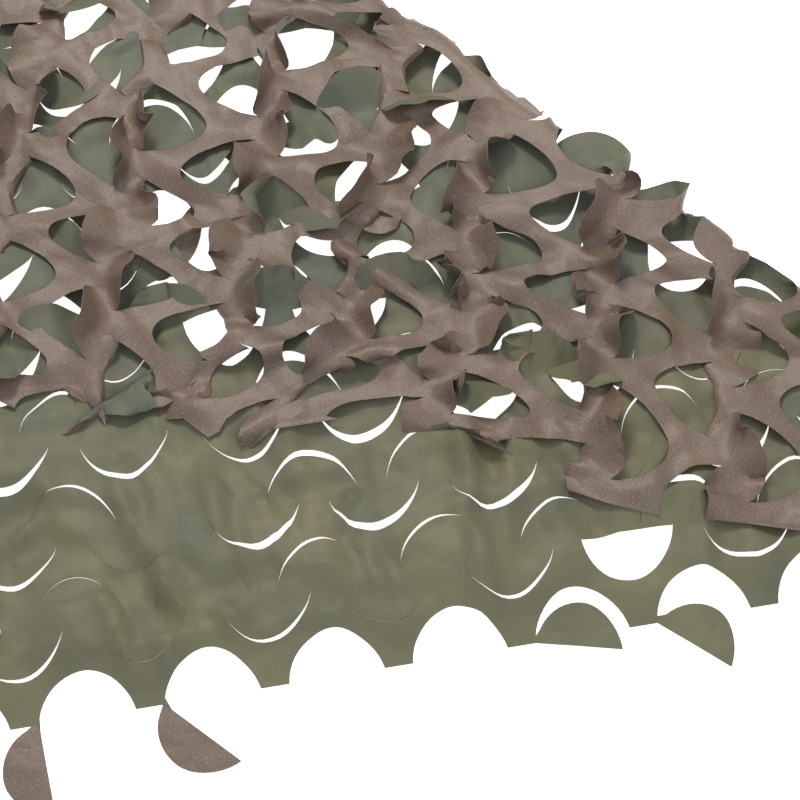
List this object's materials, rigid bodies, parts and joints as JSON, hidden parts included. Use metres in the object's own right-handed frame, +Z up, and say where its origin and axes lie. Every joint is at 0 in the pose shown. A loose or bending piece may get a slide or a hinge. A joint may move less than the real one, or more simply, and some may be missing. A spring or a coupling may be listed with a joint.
{
  "type": "camouflage net",
  "caption": "Cut length of two-coloured leaf-cut camouflage net, green side up, with one corner folded back on a slant so that its brown side shows and hangs open.",
  "frame": {"origin": "centre of the bounding box's underside, on the floor that the net lies on", "axes": "+X along the pile's length, with the slanted fold on its right; +Y towards the back, away from the scalloped hem; +Z up"},
  "size_m": [1.0466, 0.8262, 0.0581],
  "materials": {
    "green cloth": "matte",
    "brown cloth": "matte"
  },
  "bodies": {
    "root": {"net": "green cloth"}
  },
  "joints": []
}
